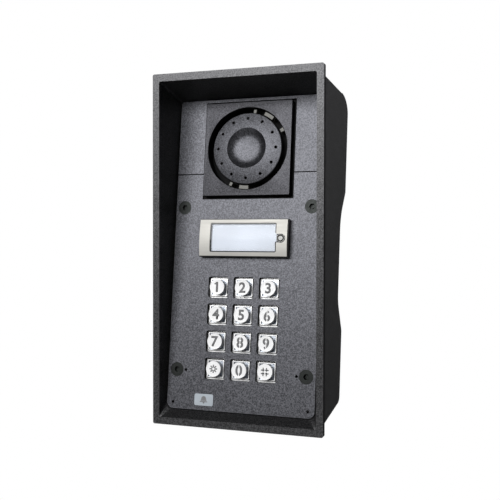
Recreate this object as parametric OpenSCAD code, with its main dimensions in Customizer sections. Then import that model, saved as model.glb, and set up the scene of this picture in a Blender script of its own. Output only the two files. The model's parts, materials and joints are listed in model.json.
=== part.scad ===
// Outdoor door intercom: a die-cast wall housing whose front rim slants into a rain hood, with a
// speaker, a lit name plate that is the call button, and a twelve-key metal keypad.
//
// Frame: the back mounting face is the plane Y = 0 and the front faces -Y. +Z is up and +X is to
// the right of a visitor. The origin is the centre of the four wall-screw holes.
// Every piece is drawn lying on its back (x right, y up, z out of the wall) and stood up last.

/* [Housing] */
// Width over the front rim
overall_w = 109; // [105:0.5:132]
// Height of the unit
overall_h = 217; // [210:0.5:262]
// Depth from the wall to the front of the hood at the top
depth_top = 83; // [80:0.5:100]
// Depth from the wall to the front of the rim at the bottom
depth_bottom = 56.6; // [55:0.2:60]
// Thickness of the front rim
rim_t = 3.9; // [3:0.1:5]
// Overhang of the front rim past the body's sides
rim_overhang = 3.3; // [2:0.1:5]
// Width of the rim's face at the sides
rim_face_side = 4.3; // [4:0.1:6]
// Width of the rim's face at the top
rim_face_top = 4.6; // [3.5:0.1:7]
// Width of the rim's face at the bottom
rim_face_bottom = 4.5; // [3.5:0.1:6]
// Wall between the recess and the body's side, at the front panel
side_wall = 2.9; // [2.5:0.1:4]
// Wall of the casting at the back
rear_wall = 3; // [2.5:0.1:4]
// Width of the ledge that the panel gasket lies on
ledge_w = 2.5; // [2:0.1:3]
// Depth of the relief across the middle of the back
waist_depth = 13; // [8:0.5:14]
// Distance from each end of the unit to the relief
waist_end = 62.5; // [58:0.5:66]
// Slope of the relief's ends
waist_ramp = 35; // [30:1:45]

/* [Wall fixing] */
// Sideways distance between the wall-screw holes
wall_hole_dx = 60; // [50:1:64]
// Upright distance between the wall-screw holes
wall_hole_dz = 160; // [152:1:164]
// Diameter of the wall-screw holes
wall_hole_d = 5.5; // [4.5:0.1:6.5]
// Diameter of the cable that the rear grommet takes
cable_d = 7; // [5:0.5:8]

/* [Front panel] */
// Distance from the wall to the face of the front panel
panel_depth = 52; // [50:0.5:55]
// Thickness of the front panel
panel_t = 3; // [2.5:0.1:3.6]
// Gap between the front panel and the housing
panel_gap = 0.5; // [0.2:0.05:0.6]
// Distance from the panel's top edge down to its seam
seam_drop = 48.3; // [46:0.1:52]
// Thickness of the gasket behind the panel
gasket_t = 1; // [0.8:0.1:1.5]
// Diameter of the panel screws' heads
screw_head_d = 8.8; // [7.5:0.1:9.2]
// Diameter of the panel screws' threads
screw_d = 4; // [3.5:0.1:4]
// Length of the panel screws
screw_len = 16; // [12:1:20]

/* [Speaker] */
// Width of the speaker cover
cover_w = 56.6; // [56:0.2:69]
// Height of the speaker cover
cover_h = 59.2; // [56:0.2:66]
// Gap between the speaker cover and the panel
cover_gap = 1.8; // [1:0.1:2]
// How far the cover's edges stand out of the panel
cover_edge = 3.8; // [1:0.1:4.2]
// Rise of the cover from its edges to its middle
cover_rise = 2.2; // [1.8:0.1:4]
// Diameter of the round opening in the cover
ring_d = 52.5; // [48:0.1:53]
// Diameter of the round speaker disc
disc_d = 45.3; // [42:0.1:46]
// Diameter of the circle of sound holes
sound_ring_d = 37.8; // [34:0.1:39]
// Number of sound holes
sound_holes = 12; // [8:1:16]
// Diameter of a sound hole
sound_hole_d = 1.9; // [1:0.1:2.2]

/* [Call button] */
// Width of the name plate
button_w = 57.2; // [50:0.2:69]
// Height of the name plate
button_h = 22.7; // [20:0.1:27.4]
// Distance from the seam down to the middle of the name plate
button_drop = 41.4; // [38:0.1:46]
// Travel of the call button
button_travel = 1.2; // [0.8:0.1:1.3]

/* [Keypad] */
// Distance between columns of keys
key_dx = 16.7; // [16.5:0.1:20.1]
// Distance between rows of keys
key_dz = 16.88; // [16.6:0.02:20.3]
// Size of the square keys
key_size = 11.8; // [10.4:0.1:12.6]
// Diameter of the round key faces
key_face_d = 9.65; // [8:0.05:10]
// Gap between a key and the panel
key_gap = 0.7; // [0.4:0.05:0.8]
// Travel of a key
key_travel = 1; // [0.6:0.1:1]

/* [Hidden] */
KEY_NAMES = ["1", "2", "3", "4", "5", "6", "7", "8", "9", "star", "0", "hash"];

$fn = 64;
eps = 0.01;
big = 400;
FINE = 160;
HULL = 32;

// heights along the wall, from the middle of the unit
top_drop = 1.3;        // the hood's front edge lies this far under the top of the body
recess_top = overall_h / 2 - 9.75;
recess_bottom = -overall_h / 2 + 9.4;
panel_top = recess_top - panel_gap;
panel_bottom = recess_bottom + panel_gap;
seam_y = panel_top - seam_drop;
seam_gap = 0.7;
speaker_y = panel_top - 1.85 - cover_h / 2 - cover_gap;
button_y = seam_y - button_drop;
keypad_y = panel_bottom + 51.2;
bottom_screw_y = panel_bottom + 24.25;

// small fasteners and fits
small_screw_r = 1.1;
small_screw_len = 8;
fit_gap = 0.05;
screw_sink = 0.15;
lap_t = 1.4;
lap_h = 4;
lap_clear = 0.2;
tab_x = 16;
tab = [12, 1.8, 1.5];
tab_clear = 0.2;
grommet_r = 9;
grommet_flange_r = 11;
grommet_sink = 1.5;
wall_pad_r = 6;

// widths
body_w = overall_w - 2 * rim_overhang;
recess_w = body_w - 2 * side_wall;
panel_w = recess_w - 2 * panel_gap;
cavity_w = recess_w - 2 * ledge_w;
screw_x = panel_w / 2 - 5.8;

// depths from the wall
wall_pad_z = rear_wall + 1.5;
panel_back = panel_depth - panel_t;
ledge_z = panel_back - gasket_t;
frame_floor_t = 3.6;
frame_face = panel_back - 2;
frame_back = frame_face - frame_floor_t;
board_t = 1.6;
keypad_board_z = panel_depth - 10.2;
key_board_front = keypad_board_z + board_t;
main_board_z = waist_depth + rear_wall + 4;
main_board_front = main_board_z + board_t;

// the slanting front rim
rim_angle = atan((depth_top - depth_bottom) / (overall_h - top_drop));
rim_len = (overall_h - top_drop) / cos(rim_angle);
rim_corner_r = 1.1;
recess_mouth_r = 1.1;
recess_top_r = 2;
recess_bottom_r = 4.6;

// the body's side outline
roof_slope = 3.6;
floor_slope = 14.5;
lip_h = 0.6;
lip_z = 21;
lip_ramp = 2.5;
roof_corner = [9.5, 16];   // height and depth of the rounded rear top corner
roof_back = overall_h / 2 - lip_h;
floor_back = -overall_h / 2 + 16.8;
waist_r_top = 30;
waist_r_bottom = 16;

// the speaker
cover_face = panel_depth + cover_edge;
cover_wall = 2.2;
opening = [cover_w + 2 * cover_gap, cover_h + 2 * cover_gap];
post_x = cover_w / 2 - 4.2;
post_y = cover_h / 2 - 4.2;
post_r = 3;
frame_half_w = opening[0] / 2 + 5.2;
frame_bottom = speaker_y - opening[1] / 2 - 3.6;
lap_x = [opening[0] / 2 + 2.2, panel_w / 2 - 4];
frame_screws = [for (s = [-1, 1], y = [-25, 25]) [s * (opening[0] / 2 + 2.7), speaker_y + y]];
disc_apex = panel_depth + 6.4;
disc_dome_r = 100;
disc_skirt = panel_depth + 1;
dish_r = [12.8, 9.6];      // mouth and floor radius of the dish in the disc
dish_depth = 3;
sound_opening_r = 19;
mesh_t = 0.6;
mesh_r = 21.5;
clip_r = (ring_d + disc_d) / 4;
// light clips that show in the ring-shaped gap: [angle, span, top above the panel]
clips = [[82, 4, 1], [58, 15, 2], [28, 5, 1.5], [244, 4, 1.5], [266, 14, 2.5]];
driver_flange_t = 1;
driver_flange_z = frame_back - driver_flange_t;

// the panel screws, kept clear of the speaker frame when that grows past them
boss_r = 3.5;
boss_clear = 0.4;
frame_meets_boss = frame_half_w > screw_x - boss_r - boss_clear;
top_screw_y = frame_meets_boss ? frame_bottom - boss_r - boss_clear : seam_y - 21.5;

// the call button
button_edge = panel_depth + 4.8;
button_sag = 1;
button_r = (pow(button_h / 2, 2) + pow(button_sag, 2)) / (2 * button_sag);
button_axis_z = button_edge + button_sag - button_r;
plate_t = 1;
button_lift = button_travel + 0.15;   // gap under the button's rim that it travels in
button_skirt = 0.5;        // the body stands out this far past the plate
stem = [button_w - 4, button_h - 4.3];
stem_gap = 0.4;
window_x = [-button_w / 2 + 7, button_w / 2 - 6.9];
window_y = [-button_h / 2 + 2.4, button_h / 2 - 2.1];
button_screw_at = [button_w / 2 - 4, button_y - 0.3];
button_screw_d = 5.2;
card_drop = 1.6;
card_t = 0.3;
stem_back = panel_back - 2.6;
lug = [2.2, 8, 1.3];
light_shaft = [36, 12];
switch_x = stem[0] / 2 - 4.2;

// the keys
key_cap_z = panel_depth - 1.7;
key_top = panel_depth + 2.3;
key_flange = key_size + 2.7;
key_flange_t = 1.2;
key_stem_z = panel_back - 2.4;
key_rim = 0.95;
key_pocket = 0.9;
key_corner = 0.6;
press_clear = 0.3;
panel_clear = 0.1;
dome_z = key_stem_z - key_travel - press_clear;
mat_t = 0.8;
low_post = [key_dx + key_flange / 2 + 5.8, keypad_y - 2 * key_dz + 1.5];
high_post = [button_w / 2 + 2.6, button_y + lug[1] / 2 + 4];
key_board_y = [low_post[1] - 5, high_post[1] + 5];

function key_x(i) = (i % 3 - 1) * key_dx;
function key_y(i) = keypad_y + (1.5 - floor(i / 3)) * key_dz;

// the boards
main_board_y = [panel_bottom + 28.8, seam_y - 6];
main_board_w = 2 * (screw_x - 6);
main_posts = [for (s = [-1, 1], y = [main_board_y[0] + 5, main_board_y[1] - 5])
    [s * (main_board_w / 2 - 4.5), y]];
keypad_posts = [for (s = [-1, 1], p = [low_post, high_post]) [s * p[0], p[1]]];
grommet_y = -overall_h / 2 + 42.5;
mic = [-screw_x + 6.35, bottom_screw_y];
mic_r = 2;
mic_boot_r = 2.55;
mic_back = panel_back - 2.9;
pinhole_d = 1.8;
drain = [panel_w / 2 - 4.15, panel_bottom + 4];
badge_size = [12.6, 7.3];
badge_sink = 0.3;
badge_proud = 0.35;
badge_at = [-22.9, panel_bottom + 6.4];

// ---- helpers ----
module stand() { rotate([90, 0, 0]) children(); }

module on_rim() { translate([0, -overall_h / 2, depth_bottom]) rotate([rim_angle, 0, 0]) children(); }

// a side outline [height, depth] carried across the width
module across(width) {
    translate([-width / 2, 0, 0]) rotate([90, 0, 90]) linear_extrude(width) children();
}

// a cylinder that lies along X, its axis at [height, depth]
module rod_x(r, len, y, z) {
    translate([-len / 2, y, z]) rotate([0, 90, 0]) cylinder(r = r, h = len, $fn = FINE);
}

// a cylinder that stands along Y, its axis at [x, depth]
module rod_y(r, len, x, z) {
    translate([x, len / 2, z]) rotate([90, 0, 0]) cylinder(r = r, h = len, $fn = FINE);
}

module round_rect(w, h, r) {
    square([w - 2 * r, h], center = true);
    square([w, h - 2 * r], center = true);
    for (x = [-1, 1], y = [-1, 1])
        translate([x * (w / 2 - r), y * (h / 2 - r)]) circle(r, $fn = HULL);
}

// a plate from height y0 up to y1, with its own radii at the bottom and top corners
module tall_rect(w, y0, y1, r0, r1) {
    translate([-w / 2, y0 + r0]) square([w, y1 - y0 - r0 - r1]);
    for (end = [[y0, 1, r0], [y1, -1, r1]]) {
        r = end[2];
        if (r > 0) {
            translate([-w / 2 + r, min(end[0], end[0] + end[1] * 2 * r)]) square([w - 2 * r, 2 * r]);
            for (x = [-1, 1]) translate([x * (w / 2 - r), end[0] + end[1] * r]) circle(r, $fn = HULL);
        }
    }
}

module rod(x, y, r, z0, z1) { translate([x, y, z0]) cylinder(r = r, h = z1 - z0); }

module block(w, h, z0, z1, x = 0, y = 0) {
    translate([x - w / 2, y - h / 2, z0]) cube([w, h, z1 - z0]);
}

// ---- the housing's side outline, drawn inward by e ----
function arc(cy, cz, r, a0, a1, n) =
    [for (i = [0:n]) let (a = a0 + (a1 - a0) * i / n) [cy + r * sin(a), cz + r * cos(a)]];
function ramp_start(r) = r * sin(waist_ramp) + (waist_depth - r + r * cos(waist_ramp)) / tan(waist_ramp);
function ramp_foot(e) = e * tan(waist_ramp / 2);
function rim_z(y) = depth_bottom + (y + overall_h / 2) * tan(rim_angle);
function roof(z) = roof_back - (z - lip_z) * tan(roof_slope);
function floor_y(z) = floor_back - z * tan(floor_slope);

module body_outline(e) {
    top = overall_h / 2 - waist_end;
    top_arc = top - ramp_start(waist_r_top);
    bottom_arc = -top + ramp_start(waist_r_bottom);
    up = e / cos(floor_slope);
    down = e / cos(roof_slope);
    corner = [roof_corner[0] - e, roof_corner[1] - e];
    corner_y = overall_h / 2 - roof_corner[0];
    front = 2;
    floor_front = depth_bottom - front;
    polygon(concat(
        [[floor_y(floor_front) + up, floor_front]],
        [[floor_y(3) + up, 3 + e], [floor_y(0.9) + 1 + up, 0.9 + e], [floor_y(0) + 3.2 + up, e]],
        [[-top - ramp_foot(e), e]],
        arc(bottom_arc, waist_depth - waist_r_bottom, waist_r_bottom + e, -waist_ramp, 0, 6),
        arc(top_arc, waist_depth - waist_r_top, waist_r_top + e, 0, waist_ramp, 8),
        [[top + ramp_foot(e), e]],
        [for (i = [0:7]) let (a = i * 90 / 7)
            [corner_y + corner[0] * sin(a), roof_corner[1] - corner[1] * cos(a)]],
        [[overall_h / 2 - e, lip_z - lip_ramp], [roof(lip_z) - down, lip_z]],
        [[roof(rim_z(roof_back)) - down, rim_z(roof_back) - rim_t]],
        [[roof(rim_z(roof_back)) - down - 6, rim_z(roof_back) - front - 1.2]]));
}

// ---- housing ----
module recess() {
    hull() {
        on_rim() translate([0, (rim_len + rim_face_bottom - rim_face_top) / 2, 0])
            linear_extrude(0.5) round_rect(overall_w - 2 * rim_face_side,
                rim_len - rim_face_bottom - rim_face_top, recess_mouth_r);
        translate([0, 0, panel_depth]) linear_extrude(eps)
            tall_rect(recess_w, recess_bottom, recess_top, recess_bottom_r, recess_top_r);
    }
    translate([0, 0, ledge_z]) linear_extrude(panel_depth - ledge_z + eps)
        tall_rect(recess_w, recess_bottom, recess_top, recess_bottom_r, recess_top_r);
}

module ledge_opening() {
    tall_rect(cavity_w, recess_bottom + ledge_w, recess_top - ledge_w / 2, 3, 2);
}

module cavity() {
    intersection() {
        across(cavity_w) body_outline(rear_wall);
        translate([0, 0, -1]) linear_extrude(ledge_z + 1 + eps) ledge_opening();
    }
}

module bosses() {
    wall_x = (cavity_w + recess_w) / 4;
    intersection() {
        across(body_w) body_outline(1);
        union() {
            for (s = [-1, 1]) {
                for (y = [top_screw_y, bottom_screw_y]) {
                    rod(s * screw_x, y, boss_r, 0, panel_back);
                    block(wall_x - screw_x + 1, 4, 0, ledge_z, s * (wall_x + screw_x) / 2, y);
                }
                for (y = [-1, 1]) rod(s * wall_hole_dx / 2, y * wall_hole_dz / 2, wall_pad_r, 0, wall_pad_z);
            }
            for (p = main_posts) rod(p[0], p[1], 3.4, 0, main_board_z);
        }
    }
}

module housing() {
    color([0.2, 0.2, 0.21]) stand() difference() {
        union() {
            difference() {
                union() {
                    across(body_w) body_outline(0);
                    on_rim() translate([0, rim_len / 2, -rim_t]) linear_extrude(rim_t)
                        round_rect(overall_w, rim_len, rim_corner_r);
                }
                recess();
                cavity();
            }
            bosses();
        }
        for (s = [-1, 1]) {
            for (y = [top_screw_y, bottom_screw_y])
                rod(s * screw_x, y, screw_d / 2 + 0.05, panel_depth - screw_len - 2, panel_depth);
            for (y = [-1, 1])
                rod(s * wall_hole_dx / 2, y * wall_hole_dz / 2, wall_hole_d / 2, -1, wall_pad_z + 1);
            block(tab[0] + 2 * tab_clear, 2 * (tab[1] + tab_clear), panel_back - tab_clear,
                panel_back + tab[2] + tab_clear, s * tab_x, panel_top);
        }
        for (p = main_posts) rod(p[0], p[1], 1.25, main_board_z - 5, main_board_z + 1);
        rod(0, grommet_y, grommet_r + fit_gap, -1, rear_wall + 1);
        rod(0, grommet_y, grommet_flange_r + 0.4, -1, grommet_sink);
    }
}

module panel_gasket() {
    rim = 0.25;
    color([0.06, 0.06, 0.06]) stand() translate([0, 0, ledge_z]) linear_extrude(gasket_t) difference() {
        tall_rect(recess_w - 2 * rim, recess_bottom + rim, recess_top - rim,
            recess_bottom_r - rim, recess_top_r - rim);
        ledge_opening();
    }
}

module cable_grommet() {
    lip = rear_wall + fit_gap;
    nose = rear_wall + 6;
    color([0.05, 0.05, 0.05]) stand() translate([0, grommet_y, 0]) rotate_extrude($fn = FINE)
        polygon([[cable_d / 2, 0.2], [grommet_flange_r, 0.2], [grommet_flange_r, grommet_sink - fit_gap],
            [grommet_r, grommet_sink - fit_gap], [grommet_r, lip], [grommet_flange_r, lip],
            [grommet_flange_r - 0.6, lip + 1.2], [cable_d / 2 + 2.2, lip + 1.6],
            [cable_d / 2 + 1.4, nose], [cable_d / 2, nose]]);
}

// ---- front panels ----
module speaker_cutout() {
    block(opening[0], opening[1], panel_back - 1, panel_depth + 1, 0, speaker_y);
}

// the upper panel's tongues, which the lower panel lies over
module laps(clear) {
    width = lap_x[1] - lap_x[0];
    for (s = [-1, 1])
        block(width + 2 * clear, lap_h + clear + 1, panel_back - clear, panel_back + lap_t + clear,
            s * (lap_x[0] + width / 2), seam_y + (1 - lap_h - clear) / 2);
}

module upper_panel() {
    color([0.37, 0.37, 0.39]) stand() difference() {
        union() {
            translate([0, 0, panel_back]) linear_extrude(panel_t)
                tall_rect(panel_w, seam_y + seam_gap / 2, panel_top, 0, recess_top_r);
            laps(0);
            for (s = [-1, 1])
                block(tab[0], 2 * tab[1], panel_back, panel_back + tab[2], s * tab_x, panel_top);
        }
        speaker_cutout();
        for (p = frame_screws) if (p[1] > seam_y)
            rod(p[0], p[1], small_screw_r, panel_back - 1, panel_back + 2.5);
    }
}

module lower_panel() {
    head_z = panel_depth - screw_sink;
    head_h = (screw_head_d - screw_d) / 2;
    color([0.36, 0.36, 0.38]) stand() difference() {
        union() {
            translate([0, 0, panel_back]) linear_extrude(panel_t) difference() {
                tall_rect(panel_w, panel_bottom, seam_y - seam_gap / 2, recess_bottom_r - panel_gap, 0);
                translate([0, button_y])
                    square([stem[0] + 2 * stem_gap, stem[1] + 2 * stem_gap], center = true);
                for (i = [0:11]) translate([key_x(i), key_y(i)])
                    round_rect(key_size + 2 * key_gap, key_size + 2 * key_gap, key_corner + key_gap);
            }
            for (p = keypad_posts) rod(p[0], p[1], 2.6, key_board_front, panel_back + 1);
        }
        speaker_cutout();
        laps(lap_clear);
        for (s = [-1, 1]) {
            for (y = [top_screw_y, bottom_screw_y]) {
                rod(s * screw_x, y, screw_d / 2 + 0.1, panel_back - 1, panel_depth);
                translate([s * screw_x, y, head_z - head_h])
                    cylinder(r1 = screw_d / 2, r2 = screw_head_d / 2, h = head_h);
                rod(s * screw_x, y, screw_head_d / 2, head_z - eps, panel_depth + 1);
            }
            rod(s * (screw_x - 6.05), bottom_screw_y, pinhole_d / 2, panel_back - 1, panel_depth + 1);
            rod(s * drain[0], drain[1], pinhole_d / 2, panel_back - 1, panel_depth + 1);
        }
        for (p = keypad_posts) rod(p[0], p[1], small_screw_r, key_board_front - 1, panel_back + 1);
        for (p = frame_screws) if (p[1] < seam_y)
            rod(p[0], p[1], small_screw_r, panel_back - 1, panel_back + 2.5);
        translate([badge_at[0], badge_at[1], panel_depth - badge_sink])
            linear_extrude(1) round_rect(badge_size[0] + 0.1, badge_size[1] + 0.1, 1.25);
    }
}

module panel_screws() {
    head_z = panel_depth - screw_sink;
    head_h = (screw_head_d - screw_d) / 2;
    color([0.16, 0.16, 0.17]) stand() for (s = [-1, 1], y = [top_screw_y, bottom_screw_y])
        translate([s * screw_x, y, 0]) difference() {
            union() {
                translate([0, 0, head_z - head_h])
                    cylinder(r1 = screw_d / 2, r2 = screw_head_d / 2, h = head_h);
                rod(0, 0, screw_d / 2, panel_depth - screw_len, head_z - head_h);
            }
            translate([0, 0, head_z - 2]) cylinder(r = 1.85, h = 3, $fn = 6);
        }
}

module badge() {
    color([0.75, 0.77, 0.79]) stand() translate([badge_at[0], badge_at[1], panel_depth - badge_sink])
        linear_extrude(badge_sink + badge_proud) round_rect(badge_size[0], badge_size[1], 1.2);
}

// ---- speaker ----
function vault_r(half) = (pow(half, 2) + pow(cover_rise, 2)) / (2 * cover_rise);

// a cushion: two crossing arches over the cover's rectangle, drawn inward by drop
module vault(drop) {
    apex = cover_face + cover_rise;
    r = [vault_r(cover_w / 2), vault_r(cover_h / 2)];
    intersection() {
        rod_x(r[1] - drop, big, speaker_y, apex - r[1]);
        translate([0, speaker_y, 0]) rod_y(r[0] - drop, big, 0, apex - r[0]);
        block(cover_w - 2 * drop, cover_h - 2 * drop, frame_face - (drop > 0 ? 1 : 0), big, 0, speaker_y);
    }
}

module at_cover_posts() {
    for (x = [-1, 1], y = [-1, 1]) translate([x * post_x, speaker_y + y * post_y, 0]) children();
}

module speaker_cover() {
    color([0.33, 0.33, 0.35]) stand() difference() {
        union() {
            difference() {
                vault(0);
                vault(cover_wall);
            }
            intersection() {
                vault(0.5);
                union() {
                    rod(0, speaker_y, ring_d / 2 + 1.6, panel_depth - 2, big);
                    at_cover_posts() rod(0, 0, post_r, frame_face, big);
                }
            }
        }
        rod(0, speaker_y, ring_d / 2, frame_face - 1, big);
        at_cover_posts() rod(0, 0, small_screw_r, frame_face - 1, frame_face + 4);
    }
}

function dome(r, drop = 0) = disc_apex - drop - disc_dome_r + sqrt(pow(disc_dome_r, 2) - r * r);

module speaker_disc() {
    r = disc_d / 2;
    t = 1.8;
    floor_z = dome(dish_r[0]) - dish_depth;
    color([0.37, 0.37, 0.39]) stand() translate([0, speaker_y, 0]) difference() {
        union() {
            rotate_extrude($fn = FINE) polygon(concat(
                [[0, floor_z - t], [0, floor_z], [dish_r[1] * 0.4, floor_z + 0.1]],
                [[dish_r[1] * 0.75, floor_z + 0.35], [dish_r[1], floor_z + 0.8], [dish_r[0], dome(dish_r[0])]],
                [for (i = [1:6]) let (q = dish_r[0] + (r - 0.4 - dish_r[0]) * i / 6) [q, dome(q)]],
                [[r, dome(r) - 0.4], [r, disc_skirt], [r - 1.6, disc_skirt]],
                [[r - 1.6, dome(r - 1.6, t)], [dish_r[0] + 1.8, dome(dish_r[0] + 1.8, t)]],
                [[dish_r[1] + 1.8, floor_z - t]]));
            for (a = [45:90:315]) rotate([0, 0, a]) rod(r - 1.9, 0, 1.2, frame_face, disc_skirt + 1.5);
        }
        for (i = [0:sound_holes - 1]) rotate([0, 0, i * 360 / sound_holes + 90])
            rod(sound_ring_d / 2, 0, sound_hole_d / 2, disc_skirt, big);
    }
}

module grille_clips() {
    color([0.8, 0.78, 0.7]) stand() for (c = clips)
        translate([0, speaker_y, frame_face]) rotate([0, 0, c[0] - c[1] / 2])
            rotate_extrude(angle = c[1], $fn = FINE) translate([clip_r - 1.1, 0])
                square([2.2, panel_depth + c[2] - frame_face]);
}

module speaker_frame() {
    top = recess_top - ledge_w / 2 - 0.4;
    fit = 0.2;
    color([0.07, 0.07, 0.08]) stand() difference() {
        union() {
            block(2 * min(frame_half_w, screw_x - boss_r - boss_clear), top - frame_bottom, frame_back,
                panel_back, 0, (top + frame_bottom) / 2);
            block(opening[0] - 2 * fit, opening[1] - 2 * fit, frame_back, panel_depth - 1.7, 0, speaker_y);
        }
        block(cover_w + 2 * fit, cover_h + 2 * fit, frame_face, big, 0, speaker_y);
        rod(0, speaker_y, sound_opening_r, frame_back - 1, frame_face + 1);
        rod(0, speaker_y, mesh_r + 0.1, frame_back - 1, frame_back + mesh_t);
        at_cover_posts() rod(0, 0, small_screw_r + 0.2, frame_back - 1, frame_face + 1);
        for (p = frame_screws) rod(p[0], p[1], small_screw_r + 0.2, frame_back - 1, panel_back + 1);
    }
}

module speaker_mesh() {
    color([0.03, 0.03, 0.03]) stand()
        rod(0, speaker_y, mesh_r, frame_back + eps, frame_back + mesh_t - eps);
}

module speaker_basket() {
    z = driver_flange_z;
    color([0.55, 0.56, 0.58]) stand() difference() {
        union() {
            translate([0, speaker_y, z]) linear_extrude(driver_flange_t)
                round_rect(2 * post_x + 6, 2 * post_y + 6, 3);
            translate([0, speaker_y, 0]) rotate_extrude($fn = FINE)
                polygon([[23, z + 0.5], [22.5, z - 4], [14.5, z - 11], [14.5, z - 12], [6, z - 12],
                    [6, z - 11], [13.5, z - 11], [21.5, z - 3.6], [22, z + 0.5]]);
        }
        rod(0, speaker_y, 21.9, z - 1, z + 3);
        at_cover_posts() rod(0, 0, small_screw_r + 0.2, z - 1, z + 3);
        translate([0, speaker_y, 0]) for (a = [15:60:315]) rotate([0, 0, a]) rod(18, 0, 2.6, z - 12.5, z - 4);
    }
}

module speaker_cone() {
    z = driver_flange_z;
    color([0.12, 0.11, 0.1]) stand() translate([0, speaker_y, 0]) rotate_extrude($fn = FINE)
        polygon([[0, z - 5], [3, z - 5.3], [6, z - 7], [16.5, z - 0.6], [19, z + 0.6], [21.8, z],
            [21.8, z - 0.6], [19, z - 0.1], [16.8, z - 1.5], [6.5, z - 8], [5.5, z - 10],
            [5, z - 10], [5, z - 7.5], [3, z - 6], [0, z - 5.7]]);
}

module speaker_magnet() {
    z = driver_flange_z - 12;
    color([0.3, 0.3, 0.32]) stand() translate([0, speaker_y, 0]) difference() {
        union() {
            rod(0, 0, 14, z - 6, z);
            rod(0, 0, 12.5, z - 7.5, z - 6);
            rod(0, 0, 4.2, z - 1, z + 2);
        }
        rod(0, 0, 2, z - 8, z - 4);
    }
}

// a small pan-head screw at [x, y]: its head lies behind the plane z, its thread runs forward
module small_screw(p, z) {
    translate([p[0], p[1], z]) difference() {
        union() {
            rod(0, 0, small_screw_r + 1.1, -1.4, 0);
            rod(0, 0, small_screw_r, -0.5, small_screw_len);
        }
        translate([0, 0, -2]) cylinder(r = 1.1, h = 1.5, $fn = 6);
    }
}

module speaker_screws() {
    color([0.7, 0.7, 0.72]) stand() {
        for (x = [-1, 1], y = [-1, 1]) small_screw([x * post_x, speaker_y + y * post_y], driver_flange_z);
        for (p = frame_screws) small_screw(p, frame_back);
    }
}

// ---- call button ----
module button_skin(drop) { rod_x(button_r - drop, big, button_y, button_axis_z); }

// the window's outline with its tab towards the screw, grown by g
module window_outline(g) {
    middle = [(window_x[0] + window_x[1]) / 2, (window_y[0] + window_y[1]) / 2];
    tab_reach = button_screw_at[0] - window_x[1] + 1;
    translate([0, button_y]) {
        translate(middle) round_rect(window_x[1] - window_x[0] + 2 * g, window_y[1] - window_y[0] + 2 * g, 1);
        translate([window_x[1] - 1, -2.9 - g]) square([tab_reach, button_screw_d + 2 * g]);
    }
}

module screw_clearance() {
    rod(button_screw_at[0], button_screw_at[1], button_screw_d / 2 + 0.2, panel_depth, big);
}

module button_plate() {
    color([0.82, 0.81, 0.78]) stand() difference() {
        intersection() {
            button_skin(0);
            block(button_w, button_h, panel_depth + 2, big, 0, button_y);
        }
        button_skin(plate_t);
        linear_extrude(big) window_outline(0);
        screw_clearance();
    }
}

module button_window() {
    color([0.85, 0.88, 0.92, 0.5]) stand() difference() {
        intersection() {
            button_skin(0.3);
            linear_extrude(big) window_outline(-0.12);
        }
        button_skin(card_drop - 0.02);
        screw_clearance();
    }
}

module name_card() {
    color([0.93, 0.95, 0.98]) stand() difference() {
        intersection() {
            button_skin(card_drop);
            block(window_x[1] - window_x[0] - 0.4, window_y[1] - window_y[0] - 0.4, panel_depth, big,
                (window_x[0] + window_x[1]) / 2, button_y + (window_y[0] + window_y[1]) / 2);
        }
        button_skin(card_drop + card_t);
    }
}

module button_body() {
    color([0.05, 0.05, 0.05]) stand() difference() {
        union() {
            intersection() {
                button_skin(plate_t + 0.02);
                block(button_w + 2 * button_skirt, button_h + 2 * button_skirt,
                    panel_depth + button_lift, big, 0, button_y);
            }
            block(stem[0], stem[1], stem_back, panel_depth + button_lift + 1, 0, button_y);
            for (s = [-1, 1]) block(lug[0] + 1, lug[1], panel_back - panel_clear - lug[2],
                panel_back - panel_clear, s * (stem[0] + lug[0] - 1) / 2, button_y);
        }
        difference() {
            linear_extrude(big) window_outline(0.1);
            button_skin(card_drop + card_t + 0.02);
        }
        block(light_shaft[0], light_shaft[1], stem_back - 1, big, 0, button_y - 0.3);
        rod(button_screw_at[0], button_screw_at[1], 1.05, panel_depth + button_lift - 1, big);
    }
}

module button_screw() {
    seat = button_edge + button_sag - plate_t + 0.1;
    head = 0.9;
    color([0.6, 0.6, 0.62]) stand() translate([button_screw_at[0], button_screw_at[1], 0]) difference() {
        union() {
            rod(0, 0, button_screw_d / 2, seat, seat + head);
            translate([0, 0, seat + head])
                cylinder(r1 = button_screw_d / 2, r2 = button_screw_d / 2 - 0.4, h = 0.3);
            rod(0, 0, 1, panel_depth + button_lift, seat + 0.3);
        }
        translate([0, 0, seat + 0.4]) cylinder(r = 1.3, h = 2, $fn = 6);
    }
}

module button_switches() {
    plunger = stem_back - button_travel - press_clear;
    color([0.15, 0.15, 0.16]) stand() for (s = [-1, 1]) {
        block(6, 6, key_board_front, plunger - 0.4, s * switch_x, button_y);
        rod(s * switch_x, button_y, 1.7, key_board_front + 0.5, plunger);
    }
}

// ---- keypad ----
module key_cap(i) {
    flange_top = panel_back - panel_clear;
    color([0.8, 0.8, 0.82]) stand() translate([key_x(i), key_y(i), 0]) difference() {
        union() {
            translate([0, 0, flange_top - key_flange_t]) linear_extrude(key_flange_t)
                round_rect(key_flange, key_flange, 1);
            translate([0, 0, flange_top - 1]) linear_extrude(key_cap_z - flange_top + 1)
                round_rect(key_size, key_size, key_corner);
            rod(0, 0, 3, key_stem_z, flange_top - 0.5);
        }
        translate([0, 0, key_cap_z - key_pocket]) linear_extrude(big)
            round_rect(key_size - 2 * key_rim, key_size - 2 * key_rim, 0.4);
    }
}

module key_face(i) {
    r = key_face_d / 2;
    z0 = key_cap_z - key_pocket;
    color([0.95, 0.95, 0.95]) stand() translate([key_x(i), key_y(i), 0]) rotate_extrude($fn = 96)
        polygon([[0, z0], [r - 0.1, z0], [r, z0 + 0.3], [r, key_top - 0.35], [r - 0.12, key_top - 0.1],
            [r - 0.4, key_top], [0, key_top]]);
}

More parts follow.
